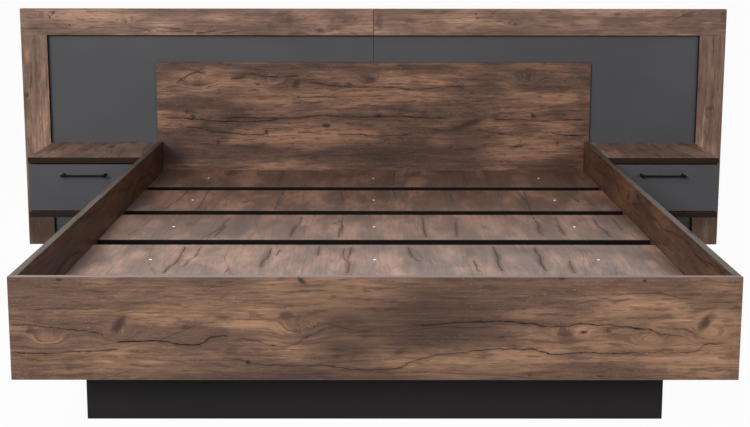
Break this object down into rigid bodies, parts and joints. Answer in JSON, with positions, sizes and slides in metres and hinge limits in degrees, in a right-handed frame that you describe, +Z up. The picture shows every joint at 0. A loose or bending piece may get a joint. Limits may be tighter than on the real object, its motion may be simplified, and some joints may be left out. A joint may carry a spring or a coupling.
{
  "type": "bed with attached nightstands",
  "caption": "Low double bed with board base on a recessed plinth, in front of a wide framed wall panel that carries a single-drawer nightstand on each side.",
  "frame": {"origin": "on the floor, below the middle of the whole set", "axes": "+X to the right as seen from the foot of the bed, +Y from the foot to the wall, +Z up"},
  "size_m": [2.312, 2.0526, 0.805],
  "materials": {
    "dark_wood": "matt wood-look laminate with long dark grain",
    "base_wood": "satin wood-look laminate with black edges",
    "graphite_board": "matt graphite laminate",
    "plain_board": "matt pale grey laminate",
    "plain_beech": "plain sanded hardwood",
    "bright_steel": "bright zinc plating",
    "zinc_steel": "dull zinc plating",
    "black_metal": "satin black paint",
    "black_plastic": "matt black"
  },
  "bodies": {
    "root": {"footboard": "dark_wood", "headboard": "dark_wood", "left_side_rail": "dark_wood", "right_side_rail": "dark_wood", "base_board_1": "base_wood", "base_board_2": "base_wood", "base_board_3": "base_wood", "base_board_4": "base_wood", "base_board_5": "base_wood", "base_board_screws": "bright_steel", "left_cleat": "plain_beech", "right_cleat": "plain_beech", "cleat_screws": "zinc_steel", "left_bearer": "plain_board", "middle_bearer": "plain_board", "right_bearer": "plain_board", "corner_brackets": "zinc_steel", "bearer_brackets": "zinc_steel", "small_screws": "zinc_steel", "plinth_front": "graphite_board", "plinth_back": "graphite_board", "plinth_left_side": "graphite_board", "plinth_right_side": "graphite_board", "dowels": "plain_beech", "left_backing_panel": "graphite_board", "right_backing_panel": "graphite_board", "left_top_rail": "dark_wood", "right_top_rail": "dark_wood", "left_stile": "dark_wood", "right_stile": "dark_wood", "panel_screws": "zinc_steel", "joining_plates": "zinc_steel", "wall_hangers": "zinc_steel", "panel_feet": "black_plastic", "left_nightstand_top": "dark_wood", "right_nightstand_top": "dark_wood", "left_nightstand_bottom": "dark_wood", "right_nightstand_bottom": "dark_wood", "left_nightstand_outer_side": "graphite_board", "right_nightstand_outer_side": "graphite_board", "left_nightstand_inner_side": "graphite_board", "right_nightstand_inner_side": "graphite_board", "left_nightstand_back": "graphite_board", "right_nightstand_back": "graphite_board", "left_runner_channels": "bright_steel", "right_runner_channels": "bright_steel"},
    "left_drawer": {"left_drawer_front": "graphite_board", "left_drawer_sides": "plain_board", "left_drawer_back": "plain_board", "left_drawer_bottom": "plain_board", "left_drawer_handle": "black_metal", "left_handle_screws": "zinc_steel", "left_runner_slides": "bright_steel"},
    "right_drawer": {"right_drawer_front": "graphite_board", "right_drawer_sides": "plain_board", "right_drawer_back": "plain_board", "right_drawer_bottom": "plain_board", "right_drawer_handle": "black_metal", "right_handle_screws": "zinc_steel", "right_runner_slides": "bright_steel"}
  },
  "joints": [
    {"name": "left_drawer_slide", "type": "slide", "parent": "root", "child": "left_drawer", "axis": [0, -1, 0], "range_m": [0, 0.22]},
    {"name": "right_drawer_slide", "type": "slide", "parent": "root", "child": "right_drawer", "axis": [0, -1, 0], "range_m": [0, 0.22]}
  ]
}
